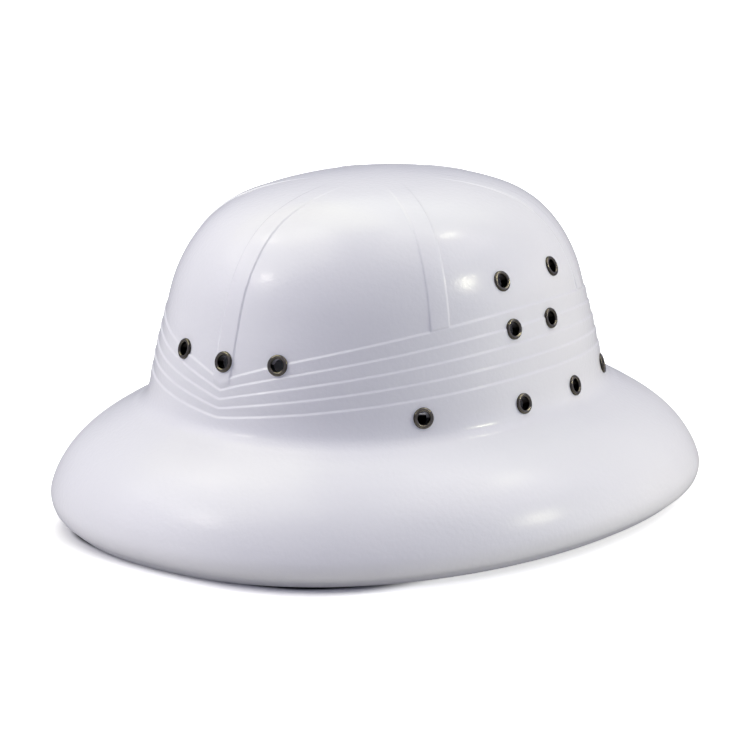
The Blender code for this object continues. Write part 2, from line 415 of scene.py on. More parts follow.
# The lip below its widest line. across: share of the tuck. rise: share of the lip's height
LIP_SECTIONS = (
    Section("rim", 1.00, 0.00),
    Section("under_lip", 0.54, 0.27),
    Section("lip_round", 0.12, 0.58),
)
# The brim. across: share of the overhang beyond the crown. rise: share of the height from lip to foot
BRIM_SECTIONS = (
    Section("lip", 1.000, 0.000),
    Section("lip_top", 0.969, 0.119),
    Section("turn", 0.911, 0.241),
    Section("shoulder", 0.836, 0.357),
    Section("outer_brim", 0.718, 0.492),
    Section("middle_brim", 0.590, 0.602),
    Section("inner_brim", 0.364, 0.752),
    Section("root", 0.148, 0.876),
    Section("fillet", 0.044, 0.946),
    Section("foot", 0.000, 1.000),
)
# The crown. across: share of its half width and length at the foot. rise: share of the height above it
CROWN_SECTIONS = (
    Section("wall_low", 0.981, 0.054),
    Section("wall_band", 0.967, 0.130),
    Section("wall_pleats", 0.946, 0.240),
    Section("wall_middle", 0.921, 0.346),
    Section("wall_high", 0.894, 0.456),
    Section("haunch", 0.864, 0.564),
    Section("turn_in", 0.826, 0.655),
    Section("round", 0.777, 0.738),
    Section("upper_round", 0.716, 0.812),
    Section("dome", 0.644, 0.870),
    Section("dome_top", 0.536, 0.922),
    Section("near_top", 0.420, 0.957),
    Section("cap", 0.270, 0.983),
    Section("top", 0.000, 1.000),
)


@dataclass
class HelmetForm:
    """The smooth form of the hat, without pleats and strips.

    Its plan is an oval, whose fullness is 2 for an ellipse and more for a squarer one. The brim dips at the
    front and the back, where a short level stretch of its rim rests on the floor.
    """

    brim_width: float
    brim_length: float
    height: float
    crown_width: float = 0.190
    crown_length: float = 0.2255
    foot_height: float = 0.0542
    wall: float = 0.0022
    lip_tuck: float = 0.0076
    lip_height: float = 0.0108
    brim_dip: float = 0.0033
    rest_width: float = 0.018
    fullness: float = 2.14
    samples: int = 24
    small_turn: float = math.radians(0.4)
    small_step: float = 0.0004
    search_rounds: int = 4
    lengths: np.ndarray = field(init=False)
    path: np.ndarray = field(init=False)

    def __post_init__(self) -> None:
        """Draws a Hermite curve through the sections, as a dense table of its length and points."""
        points = self._section_points()
        steps = np.linalg.norm(np.diff(points, axis=0), axis=1)
        knots = np.concatenate([[0.0], np.cumsum(steps)])
        slopes = np.gradient(points, knots, axis=0)
        slopes[-1, 2] = 0.0
        t = np.linspace(0.0, 1.0, self.samples, endpoint=False)[:, None]
        parts = []
        for i, step in enumerate(steps):
            parts.append(
                (1 + 2 * t) * (1 - t) ** 2 * points[i]
                + t * (1 - t) ** 2 * step * slopes[i]
                + t**2 * (3 - 2 * t) * points[i + 1]
                + t**2 * (t - 1) * step * slopes[i + 1]
            )
        self.path = np.concatenate(parts + [points[-1:]])
        steps = np.linalg.norm(np.diff(self.path, axis=0), axis=1)
        self.lengths = np.concatenate([[0.0], np.cumsum(steps)])

    def _section_points(self) -> np.ndarray:
        """Works out the sections from the rim to the top.

        Returns:
            A row of half width, half length and height for each section.
        """
        lip = np.array([self.brim_width, self.brim_length]) / 2
        foot = np.array([self.crown_width, self.crown_length]) / 2
        points = []
        for section in LIP_SECTIONS:
            points.append((*(lip - section.across * self.lip_tuck), section.rise * self.lip_height))
        for section in BRIM_SECTIONS:
            height = self.lip_height + section.rise * (self.foot_height - self.lip_height)
            points.append((*(foot + section.across * (lip - foot)), height))
        for section in CROWN_SECTIONS:
            height = self.foot_height + section.rise * (self.height - self.foot_height)
            points.append((*(section.across * foot), height))
        return np.array(points)

    @property
    def top(self) -> float:
        """Length of the whole profile."""
        return float(self.lengths[-1])

    def place_of(self, name: str) -> float:
        """Length along the profile at a named section."""
        names = [section.name for section in (*LIP_SECTIONS, *BRIM_SECTIONS, *CROWN_SECTIONS)]
        return float(self.lengths[names.index(name) * self.samples])

    def section(self, along: np.ndarray) -> tuple[np.ndarray, np.ndarray, np.ndarray]:
        """Half width, half length and height at lengths along the profile."""
        return tuple(np.interp(along, self.lengths, self.path[:, i]) for i in range(3))

    def along_at(self, height: np.ndarray) -> np.ndarray:
        """Length along the profile where the surface reaches a height."""
        return np.interp(height, self.path[:, 2], self.lengths)

    def surface(self, angle: np.ndarray, along: np.ndarray) -> np.ndarray:
        """Points of the plain outer surface.

        Args:
            angle: Angles on the hat.
            along: Lengths along the profile.

        Returns:
            One row of three for each angle and length.
        """
        half_width, half_length, height = self.section(along)
        side, ahead = np.sin(angle), np.cos(angle)
        full = (np.abs(side) ** self.fullness + np.abs(ahead) ** self.fullness) ** (-1 / self.fullness)
        rest = self.rest_width / self.brim_width
        dip = np.maximum(0.0, (np.abs(side) - rest) / (1 - rest)) ** 2
        lift = self.brim_dip * dip * np.maximum(0.0, 1 - height / self.foot_height)
        return np.stack([half_width * side * full, -half_length * ahead * full, height + lift], axis=-1)

    def upward(self, angle: np.ndarray, along: np.ndarray) -> np.ndarray:
        """Direction along the surface, up the profile.

        Args:
            angle: Angles on the hat.
            along: Lengths along the profile.

        Returns:
            A unit row of three for each angle and length.
        """
        high = np.clip(along + self.small_step, 2 * self.small_step, self.top - self.small_step)
        step = self.surface(angle, high) - self.surface(angle, high - 2 * self.small_step)
        return step / np.linalg.norm(step, axis=-1, keepdims=True)

    def outward(self, angle: np.ndarray, along: np.ndarray) -> np.ndarray:
        """Outward normal of the plain outer surface.

        Args:
            angle: Angles on the hat.
            along: Lengths along the profile.

        Returns:
            A unit row of three for each angle and length.
        """
        low = np.clip(along, self.small_step, self.top - 2 * self.small_step)
        across = self.surface(angle + self.small_turn, low) - self.surface(angle - self.small_turn, low)
        normal = np.cross(across, self.upward(angle, low))
        return normal / np.linalg.norm(normal, axis=-1, keepdims=True)

    def nearest(self, point: Vector) -> tuple[float, float]:
        """Angle and length on the crown under a point near its wall.

        Args:
            point: A point within a few millimetres of the wall.

        Returns:
            The angle and the length along the profile.
        """
        foot_point = np.array(point)
        for _ in range(self.search_rounds):
            angle = math.atan2(foot_point[0] / self.crown_width, -foot_point[1] / self.crown_length)
            along = float(self.along_at(foot_point[2]))
            normal = self.outward(angle, along)
            offset = (np.array(point) - self.surface(angle, along)) @ normal
            foot_point = np.array(point) - offset * normal
        return angle, along


@dataclass(frozen=True)
class PleatBand:
    """The moulded pleats: how high the lines run, and the step at each.

    The lines rise from the front and the back to the sides and spread out there. The bend is how round the
    turn of their V is.
    """

    count: int = 5
    rise_front: float = 0.0050
    rise_side: float = 0.0175
    pitch_front: float = 0.0038
    pitch_side: float = 0.0071
    pitch_power: float = 0.65
    bend: float = 0.025
    step: float = 0.00055
    ledge: float = 0.0013
    fade: float = 0.0090

    def height(self, form: HelmetForm, line: int, angle: np.ndarray) -> np.ndarray:
        """Height of a pleat line.

        Args:
            form: The hat's form.
            line: The line's number, counted from the lowest as 0.
            angle: Angles on the hat.

        Returns:
            The line's height at each angle.
        """
        share = np.sqrt(np.sin(angle) ** 2 + self.bend**2) - self.bend
        rise = self.rise_front + (self.rise_side - self.rise_front) * share
        pitch = self.pitch_front + (self.pitch_side - self.pitch_front) * share**self.pitch_power
        return form.foot_height + rise + line * pitch


@dataclass(frozen=True)
class CrownStrips:
    """The raised strips up the crown."""

    count: int = 6
    width: float = 0.0082
    edge: float = 0.0010
    rise: float = 0.00043
    end_radius: float = 0.024
    fade: float = 0.030
    widest_turn: float = math.radians(20)

    @property
    def half_width(self) -> float:
        """Half the width with the sloped edge."""
        return self.width / 2 + self.edge

    def middle(self, strip: np.ndarray) -> np.ndarray:
        """Angle of a strip's middle."""
        return math.tau * strip / self.count

    def half_turn(self, form: HelmetForm, strip: np.ndarray, along: np.ndarray) -> np.ndarray:
        """Angle that half a strip's width takes.

        Args:
            form: The hat's form.
            strip: Numbers of the strips.
            along: Lengths along the profile.

        Returns:
            The angles, which are limited near the top of the crown.
        """
        middle, turn = self.middle(strip), form.small_turn
        chord = form.surface(middle + turn, along) - form.surface(middle - turn, along)
        narrowest = self.half_width * 2 * turn / self.widest_turn
        return self.half_width * 2 * turn / np.maximum(np.linalg.norm(chord, axis=-1), narrowest)


@dataclass
class ShellBlank:
    """The plain shell as a fine mesh whose rows and columns follow the pleats and the strips.

    A strip's columns lie at shares of its half width, out to its toe, and a ledge's rows at shares of its
    height.
    """

    form: HelmetForm
    pleats: PleatBand
    strips: CrownStrips
    between_columns: int = 40
    lip_rows: int = 9
    shoulder_rows: int = 14
    brim_rows: int = 22
    root_rows: int = 9
    band_foot_rows: int = 6
    band_rows: int = 4
    crown_rows: int = 54
    inner_brim_rows: int = 30
    inner_crown_rows: int = 36
    rim_rows: int = 9
    rim_tries: int = 200
    toe: float = 1.14
    strip_shares: tuple[float, ...] = (1.14, 1.06, 1.0, 0.96, 0.92, 0.87, 0.83, 0.77, 0.40)
    ledge_shares: tuple[float, ...] = (-0.72, -0.5, -0.3, -0.1, 0.1, 0.3, 0.5, 0.72)

    def __post_init__(self) -> None:
        """Lists each column's strip, its share across the strip, and its share of the gap after it."""
        shares = [-share for share in self.strip_shares] + [0.0] + list(reversed(self.strip_shares))
        gaps = [(i + 1) / (self.between_columns + 1) for i in range(self.between_columns)]
        across = shares + [self.toe] * len(gaps)
        after = [0.0] * len(shares) + gaps
        self.strip = np.repeat(np.arange(self.strips.count), len(across))
        self.across = np.tile(across, self.strips.count)
        self.after = np.tile(after, self.strips.count)

    def columns(self, along: np.ndarray) -> tuple[np.ndarray, np.ndarray]:
        """Angle of every column, and its distance from the nearest strip's middle.

        Args:
            along: Length along the profile at each column.

        Returns:
            The angles and the distances.
        """
        here = self.strips.half_turn(self.form, self.strip, along)
        there = self.strips.half_turn(self.form, self.strip + 1, along)
        start = self.strips.middle(self.strip) + self.across * here
        end = self.strips.middle(self.strip + 1) - self.toe * there
        angle = start + self.after * (end - start)
        from_here = np.abs(angle - self.strips.middle(self.strip)) / here
        from_there = np.abs(self.strips.middle(self.strip + 1) - angle) / there
        return angle, np.minimum(from_here, from_there) * self.strips.half_width

    def _level_row(self, along: float) -> np.ndarray:
        """Row at one length along the profile."""
        return np.full(len(self.strip), along)

    def _pleat_row(self, line: int, share: float) -> np.ndarray:
        """Row along a pleat line.

        Args:
            line: The line's number.
            share: Where the row lies on the line's ledge, from -0.5 at its foot to 0.5 at its top.

        Returns:
            The row's length along the profile at each column.
        """
        along = self._level_row(self.form.along_at(self.form.foot_height))
        for _ in range(self.form.search_rounds):
            angle, _ = self.columns(along)
            height = self.pleats.height(self.form, line, angle) + share * self.pleats.ledge
            along = self.form.along_at(height)
        return along

    @staticmethod
    def _rows_between(low: np.ndarray, high: np.ndarray, count: int) -> list[np.ndarray]:
        """Rows evenly spread between two rows, without the two themselves."""
        return [low + (high - low) * i / (count + 1) for i in range(1, count + 1)]

    def _even_rows(self, start: float, end: float, count: int) -> list[np.ndarray]:
        """Level rows from a start up to, but without, an end."""
        return [self._level_row(along) for along in np.linspace(start, end, count, endpoint=False)]

    @property
    def rim_place(self) -> float:
        """Finds where the round of the rim starts, so that it ends on the floor.

        Returns:
            The length along the profile.
        """
        wall = self.form.wall
        places = np.linspace(0.0, wall, self.rim_tries)
        front = np.zeros_like(places)
        heights = self.form.surface(front, places)[:, 2]
        normals = self.form.outward(front, places)[:, 2]
        lowest = heights - normals * wall / 2 - wall / 2
        return float(places[np.argmin(np.abs(lowest))])

    def outer_rows(self) -> list[np.ndarray]:
        """Lists the rows of the outer surface from the rim up.

        Returns:
            The length along the profile at each column, for each row.
        """
        form = self.form
        foot = float(form.along_at(form.foot_height))
        stops = [form.place_of(name) for name in ("lip", "outer_brim", "root")]
        counts = (self.lip_rows, self.shoulder_rows, self.brim_rows, self.root_rows)
        rows = []
        for start, end, count in zip([self.rim_place, *stops], [*stops, foot], counts):
            rows += self._even_rows(start, end, count)
        rows.append(self._level_row(foot))
        for line in range(self.pleats.count):
            ledge = [self._pleat_row(line, share) for share in self.ledge_shares]
            rows += self._rows_between(rows[-1], ledge[0], self.band_rows if line else self.band_foot_rows)
            rows += ledge
        return rows + self._rows_between(rows[-1], self._level_row(form.top), self.crown_rows)

    def inner_rows(self) -> list[np.ndarray]:
        """Lists the rows of the inner surface from the rim up.

        Returns:
            The length along the profile at each column, for each row.
        """
        foot = float(self.form.along_at(self.form.foot_height))
        brim = self._even_rows(self.rim_place, foot, self.inner_brim_rows)
        return brim + self._even_rows(foot, self.form.top, self.inner_crown_rows)

    def surface_ring(self, along: np.ndarray, depth: float) -> np.ndarray:
        """Ring of points along a row.

        Args:
            along: The row's length along the profile at each column.
            depth: How far the ring lies under the outer surface.

        Returns:
            One row of three for each column.
        """
        angle, _ = self.columns(along)
        return self.form.surface(angle, along) - depth * self.form.outward(angle, along)

    def rim_rings(self, along: np.ndarray) -> list[np.ndarray]:
        """Rings round the end of the wall, from the outer surface to the inner one.

        Args:
            along: The length along the profile where the round starts, at each column.

        Returns:
            The rings of points.
        """
        angle, _ = self.columns(along)
        outward = self.form.outward(angle, along)
        upward = self.form.upward(angle, along)
        radius = self.form.wall / 2
        middle = self.form.surface(angle, along) - radius * outward
        turns = [math.pi * i / self.rim_rows for i in range(1, self.rim_rows)]
        return [middle + radius * (math.cos(turn) * outward - math.sin(turn) * upward) for turn in turns]

    def _marks(self, along: np.ndarray, outside: float) -> dict[Mark, np.ndarray]:
        """Works out what one ring carries for the relief.

        Args:
            along: The ring's length along the profile at each column.
            outside: 1 for the outer surface, 0 for the rest.

        Returns:
            The values at each column.
        """
        angle, offset = self.columns(along)
        half_width, _, height = self.form.section(along)
        return {
            Mark.TURN: angle,
            Mark.LEVEL: height,
            Mark.HALF_WIDTH: half_width,
            Mark.STRIP_OFFSET: offset,
            Mark.FRONT_STRIP: ((self.strip == 0) & (self.after == 0)).astype(float),
            Mark.OUTSIDE: np.full(len(angle), outside),
            Mark.OUTWARD: self.form.outward(angle, along),
        }

    def build(self) -> bpy.types.Object:
        """Makes the closed shell with the values that the relief needs at every vertex.

        Returns:
            The shell.
        """
        inner, outer = list(reversed(self.inner_rows())), self.outer_rows()
        edge = self._level_row(self.rim_place)
        edge_rings = list(reversed(self.rim_rings(edge)))
        rings = [self.surface_ring(along, self.form.wall) for along in inner]
        rings += edge_rings + [self.surface_ring(along, 0.0) for along in outer]
        marks = [self._marks(along, 0.0) for along in inner + [edge] * len(edge_rings)]
        marks += [self._marks(along, 1.0) for along in outer]
        shell = self._closed_mesh(rings)
        for mark in marks[0]:
            values = np.concatenate([ring[mark] for ring in marks])
            set_mark(shell, mark, np.concatenate([values, values[:1], values[-1:]]))
        return new_object(shell.name, shell)

    def _closed_mesh(self, rings: list[np.ndarray]) -> bpy.types.Mesh:
        """Joins the rings with quads and closes both ends with a fan.

        Args:
            rings: Rings from the top of the inside, round the rim, to the top of the outside.

        Returns:
            The shell's mesh, with the two fans' middles as its last vertices.
        """
        count = len(rings[0])
        inner_apex = len(rings) * count
        apex = self.form.surface(np.array([0.0]), np.array([self.form.top]))
        ends = np.concatenate([apex - [0.0, 0.0, self.form.wall], apex])
        vertices = np.concatenate([*rings, ends])
        column = np.arange(count)
        following = (column + 1) % count
        corners = []
        for low in range(0, inner_apex - count, count):
            high = low + count
            corners.append([low + column, low + following, high + following, high + column])
        last = inner_apex - count
        corners.append([following, column, np.full(count, inner_apex)])
        corners.append([last + column, last + following, np.full(count, inner_apex + 1)])
        faces = [face for sides in corners for face in np.stack(sides, axis=1).tolist()]
        mesh = bpy.data.meshes.new("shell_blank")
        mesh.from_pydata(vertices.tolist(), [], faces)
        mesh.shade_smooth()
        return mesh


class ShellRelief(Modelling):
    """Raises the pleats and the strips on the plain shell."""

    def __init__(self, form: HelmetForm, pleats: PleatBand, strips: CrownStrips,
                 plastic: bpy.types.Material) -> None:
        """Builds the tree.

        Args:
            form: The hat's form.
            pleats: Sizes of the pleats.
            strips: Sizes of the strips.
            plastic: The shell's finish.
        """
        super().__init__("moulded relief")
        level = self.mark(Mark.LEVEL) - self.size("Foot Height", form.foot_height)
        bend = self.size("Bend", pleats.bend)
        share = (self.mark(Mark.TURN).sine() ** 2 + bend * bend) ** 0.5 - bend
        rise_front = self.size("Rise Front", pleats.rise_front)
        rise = rise_front + (self.size("Rise Side", pleats.rise_side) - rise_front) * share
        pitch_front = self.size("Pitch Front", pleats.pitch_front)
        pitch_span = self.size("Pitch Side", pleats.pitch_side) - pitch_front
        self.pitch = pitch_front + pitch_span * share ** self.size("Pitch Power", pleats.pitch_power)
        self.ledge = self.size("Ledge", pleats.ledge)
        self.above = level - rise
        self.last = pleats.count - 1
        self.above_last = self.above - self.last * self.pitch
        # The wall leans out by one step from each line to the next, and falls back by one at each ledge
        ramp = 0.5 * level.smooth(0.0, rise) + (self.above / self.pitch).within(0.0, self.last)
        ramp = ramp + 0.5 * self.above_last.smooth(0.0, self.size("Fade Above", pleats.fade))
        for line in range(pleats.count):
            beyond = (self.above - line * self.pitch) / self.ledge
            ramp = ramp - beyond.smooth(-0.5, 0.5)
        folds = self.size("Step", pleats.step) * ramp
        strip = self._strip_cover(strips)
        relief = folds * (1 - strip) + self.size("Strip Rise", strips.rise) * strip
        relief = relief * self.mark(Mark.OUTSIDE)
        settings = {"data_type": "FLOAT", "domain": "POINT"}
        sockets = {"Geometry": self.geometry, "Name": Mark.RELIEF.value, "Value": relief}
        kept = self.add("GeometryNodeStoreNamedAttribute", settings, sockets)
        moved = self.move_out(kept.outputs[0], self.mark(Mark.RELIEF))
        self.finish(moved, self.material("Plastic", plastic))

    def _strip_cover(self, strips: CrownStrips) -> Amount:
        """How far a strip takes over from the pleats.

        Args:
            strips: Sizes of the strips.

        Returns:
            1 on a strip's flat, 0 away from it.
        """
        flat = self.size("Strip Half Flat", strips.width / 2)
        edge = self.size("Strip Edge", strips.edge)
        inside = 1 - self.mark(Mark.STRIP_OFFSET).smooth(flat, flat + edge)
        half_ledge = 0.5 * self.ledge
        plain_start = self.above_last.smooth(-1 * half_ledge, half_ledge)
        above_inner = self.above - (self.last - 1) * self.pitch
        front_start = above_inner.smooth(half_ledge, self.pitch - half_ledge)
        front = self.mark(Mark.FRONT_STRIP)
        start = front_start * front + plain_start * (1 - front)
        end = self.size("Strip End", strips.end_radius)
        width = self.mark(Mark.HALF_WIDTH)
        fade = ((width - end) / self.size("Strip Fade", strips.fade)).within(0.0, 1.0)
        return inside * start * fade


@dataclass
class VentRows:
    """Finds the places of the eyelets from the frame and seats them on the moulded surface.

    Each seat is at the height that most of the plastic in a ring round the vent stays under.
    """

    form: HelmetForm
    seat_radius: float = 0.0040
    seat_points: int = 16
    seat_share: float = 0.7
    reach: float = 0.006

    def cloud(self, names: list[str], moulded: bpy.types.Object) -> bpy.types.Object:
        """Makes a cloud of one vertex for each vent.

        Args:
            names: The eyelets' nodes.
            moulded: The shell with its relief and before its holes.

        Returns:
            The cloud, whose vertices carry the vents' directions.
        """
        tree = BVHTree.FromObject(moulded, bpy.context.evaluated_depsgraph_get())
        places, facings = [], []
        for name in sorted(names):
            low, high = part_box(name)
            angle, along = self.form.nearest((low + high) / 2)
            facing = Vector(self.form.outward(angle, along))
            plain = Vector(self.form.surface(angle, along))
            places.append(tuple(plain + facing * self._seat(tree, plain, facing)))
            facings.append(tuple(facing))
        mesh = bpy.data.meshes.new("vent_points")
        mesh.from_pydata(places, [], [])
        set_mark(mesh, Mark.FACING, np.array(facings))
        return new_object(mesh.name, mesh)

    def _seat(self, tree: BVHTree, plain: Vector, facing: Vector) -> float:
        """Height of the plastic under an eyelet's flange.

        Args:
            tree: The moulded surface.
            plain: The vent's place on the plain surface.
            facing: The vent's direction.

        Returns:
            The height above the plain surface.
        """
        turn = facing.to_track_quat("Z", "Y")
        heights = []
        for i in range(self.seat_points):
            angle = math.tau * i / self.seat_points
            spot = Vector((math.cos(angle), math.sin(angle), 0.0)) * self.seat_radius
            start = plain + turn @ spot + facing * self.reach
            hit = tree.ray_cast(start, -facing, 2 * self.reach)[0]
            if hit is not None:
                heights.append((hit - plain).dot(facing))
        return float(np.quantile(heights, self.seat_share))


class VentHoles(Modelling):
    """Cuts a round hole through the shell at every vent."""

    def __init__(self, points: bpy.types.Object, radius: float, depth: float, sides: int,
                 plastic: bpy.types.Material) -> None:
        """Builds the tree.

        Args:
            points: The cloud of vents.
            radius: Radius of a hole.
            depth: Length of the cutter.
            sides: Sides of a hole.
            plastic: The shell's finish.
        """
        super().__init__("vent holes")
        cloud = self.shape("Vents", points)
        sockets = {
            "Vertices": sides,
            "Radius": self.size("Hole Radius", radius),
            "Depth": self.size("Depth", depth),
        }
        cutter = self.add("GeometryNodeMeshCylinder", {"fill_type": "NGON"}, sockets).outputs["Mesh"]
        sockets = {"Points": cloud, "Instance": cutter, "Rotation": self.facing()}
        placed = self.add("GeometryNodeInstanceOnPoints", {}, sockets)
        cutters = self.add("GeometryNodeRealizeInstances", {}, {"Geometry": placed.outputs[0]})
        sockets = {"Mesh 1": self.geometry, "Mesh 2": cutters.outputs[0]}
        cut = self.add("GeometryNodeMeshBoolean", {"operation": "DIFFERENCE", "solver": "EXACT"}, sockets)
        sockets = {
            "Geometry": cut.outputs["Mesh"],
            "Selection": cut.outputs["Intersecting Edges"],
            "Shade Smooth": False,
        }
        crisp = self.add("GeometryNodeSetShadeSmooth", {"domain": "EDGE"}, sockets)
        self.finish(crisp.outputs[0], self.material("Plastic", plastic))


@dataclass
class EyeletShape:
    """One vent eyelet turned about +Z, with 0 where its flange meets the plastic."""

    bore_radius: float = 0.0028
    barrel_radius: float = 0.0033
    flange_radius: float = 0.0046
    flange_height: float = 0.00105
    flange_foot: float = -0.00035
    roll_radius: float = 0.0043
    roll_height: float = 0.0009
    back: float = -0.0030
    rounding: float = 0.00025
    dome_power: float = 0.8
    dome_points: int = 15
    roll_points: int = 8
    sides: int = 48

    @staticmethod
    def _half_round(start: float, end: float, count: int) -> list[tuple[float, float]]:
        """Spreads points over a half circle.

        Args:
            start: Radius at its start.
            end: Radius at its end.
            count: How many steps it has.

        Returns:
            Each point's radius, and its height as a share of the half circle's.
        """
        turns = [math.pi * i / count for i in range(count + 1)]
        middle, half = (start + end) / 2, (start - end) / 2
        return [(middle + half * math.cos(turn), math.sin(turn)) for turn in turns]

    def _profile(self) -> list[tuple[float, float, float]]:
        """Draws the closed profile: the domed flange, the barrel and the roll behind the wall.

        Returns:
            Radius, height and how near the crest of the flange each point is.
        """
        points = []
        for radius, share in self._half_round(self.bore_radius, self.flange_radius, self.dome_points):
            points.append((radius, self.flange_height * share**self.dome_power, share))
        points.append((self.flange_radius, self.flange_foot + self.rounding, 0.0))
        points.append((self.flange_radius - self.rounding, self.flange_foot, 0.0))
        points.append((self.barrel_radius, self.flange_foot, 0.0))
        points.append((self.barrel_radius, self.back, 0.0))
        for radius, share in self._half_round(self.roll_radius, self.bore_radius, self.roll_points):
            points.append((radius, self.back - self.roll_height * share, 0.0))
        points.append((self.bore_radius, self.flange_foot, 0.0))
        return points

    def build(self) -> bpy.types.Object:
        """Turns the profile into a closed ring.

        Returns:
            The eyelet at the origin.
        """
        mesh = bmesh.new()
        crest = mesh.verts.layers.float.new(Mark.CREST.value)
        rings = []
        for radius, height, near in self._profile():
            ring = []
            for i in range(self.sides):
                turn = math.tau * i / self.sides
                vertex = mesh.verts.new((radius * math.cos(turn), radius * math.sin(turn), height))
                vertex[crest] = near
                ring.append(vertex)
            rings.append(ring)
        for low, high in zip(rings, rings[1:] + rings[:1]):
            for i in range(self.sides):
                j = (i + 1) % self.sides
                mesh.faces.new((low[i], low[j], high[j], high[i]))
        bmesh.ops.recalc_face_normals(mesh, faces=mesh.faces)
        data = finished_mesh("eyelet_master", mesh)
        data.shade_smooth()
        return new_object(data.name, data)


class EyeletSet(Modelling):
    """Sets an eyelet in every vent, each turned and tilted a little differently."""

    def __init__(self, master: bpy.types.Object, metal: bpy.types.Material, tilt: float, seed: int) -> None:
        """Builds the tree.

        Args:
            master: The eyelet that is repeated.
            metal: The eyelets' finish.
            tilt: Largest tilt of an eyelet from square.
            seed: Seed of the spins and tilts.
        """
        super().__init__("vent eyelets")
        shape = self.shape("Eyelet", master)
        most = self.size("Tilt", tilt)
        sockets = {"Min": (-1.0, -1.0, 0.0), "Max": (1.0, 1.0, math.tau), "Seed": seed}
        lean = self.add("FunctionNodeRandomValue", {"data_type": "FLOAT_VECTOR"}, sockets).outputs["Value"]
        parts = self.add("ShaderNodeSeparateXYZ", {}, {"Vector": lean}).outputs
        across, ahead = (Amount(self, parts[i]) * most for i in range(2))
        spin = self.add("ShaderNodeCombineXYZ", {}, {"X": across, "Y": ahead, "Z": parts["Z"]})
        spun = self.add("FunctionNodeEulerToRotation", {}, {"Euler": spin.outputs["Vector"]})
        sockets = {"Rotation": self.facing(), "Rotate By": spun.outputs["Rotation"]}
        both = self.add("FunctionNodeRotateRotation", {"rotation_space": "LOCAL"}, sockets)
        sockets = {"Points": self.geometry, "Instance": shape, "Rotation": both.outputs["Rotation"]}
        placed = self.add("GeometryNodeInstanceOnPoints", {}, sockets)
        self.finish(placed.outputs[0], self.material("Metal", metal))


class Finish(NodeMaker):
    """A material whose surface varies by nodes that read Object coordinates or values on the mesh."""

    def __init__(self, name: str) -> None:
        """Makes the material with its shader.

        Args:
            name: The material's name.
        """
        self.material = bpy.data.materials.new(name)
        self.material.use_nodes = True
        super().__init__(self.material.node_tree)
        self.shader = self.tree.nodes["Principled BSDF"]
        self.place = self.add("ShaderNodeTexCoord").outputs["Object"]

    def noise(self, scale: float, detail: float = 2.0, roughness: float = 0.5) -> Amount:
        """Smooth noise in space, about 0 to 1.

        Args:
            scale: How many patches there are in a metre.
            detail: How many finer layers are added.
            roughness: How strong the finer layers are.

        Returns:
            The noise.
        """
        sockets = {"Vector": self.place, "Scale": scale, "Detail": detail, "Roughness": roughness}
        return self.amount("ShaderNodeTexNoise", {}, sockets, "Fac")

    def height(self) -> Amount:
        """Height over the object's origin."""
        return self.amount("ShaderNodeSeparateXYZ", {}, {"Vector": self.place}, "Z")

    def distance(self) -> Amount:
        """Distance from the object's origin."""
        return self.amount("ShaderNodeVectorMath", {"operation": "LENGTH"}, {0: self.place}, "Value")

    def share_out(self, half_sizes: tuple[float, float], fullness: float) -> Amount:
        """How far out a place lies in a plan form.

        Args:
            half_sizes: The form's half width and half length.
            fullness: 2 for an oval, and more for a rectangle with full round corners.

        Returns:
            0 in the middle and 1 on the form's edge.
        """
        parts = self.add("ShaderNodeSeparateXYZ", {}, {"Vector": self.place}).outputs
        shares = [Amount(self, parts[i]) / half for i, half in enumerate(half_sizes)]
        powers = [(share * share) ** (fullness / 2) for share in shares]
        return (powers[0] + powers[1]) ** (1 / fullness)

    def mark(self, mark: Mark) -> Amount:
        """Reads a number that the mesh carries."""
        return self.amount("ShaderNodeAttribute", {"attribute_name": mark.value}, {}, "Fac")

    def bump(self, height: Amount, distance: float) -> bpy.types.NodeSocket:
        """Turns a height into a bent normal, with the metres that a height of 1 stands for."""
        sockets = {"Height": height, "Distance": distance, "Strength": 1.0}
        return self.add("ShaderNodeBump", {}, sockets).outputs["Normal"]

    def connect(self, name: str, value: Amount | bpy.types.NodeSocket) -> None:
        """Links a socket of the shader."""
        source = value.socket if isinstance(value, Amount) else value
        self.tree.links.new(source, self.shader.inputs[name])

    def fix(self, **values: float | tuple) -> None:
        """Sets sockets of the shader to one value all over, by their names with _ for each space."""
        for name, value in values.items():
            self.shader.inputs[name.replace("_", " ")].default_value = value

    def matt(self, roughness: float) -> None:
        """Makes a piece of the stage matt, and lets it glow in its emission colour."""
        self.fix(Roughness=roughness, Specular_IOR_Level=0.0, Emission_Strength=1.0)


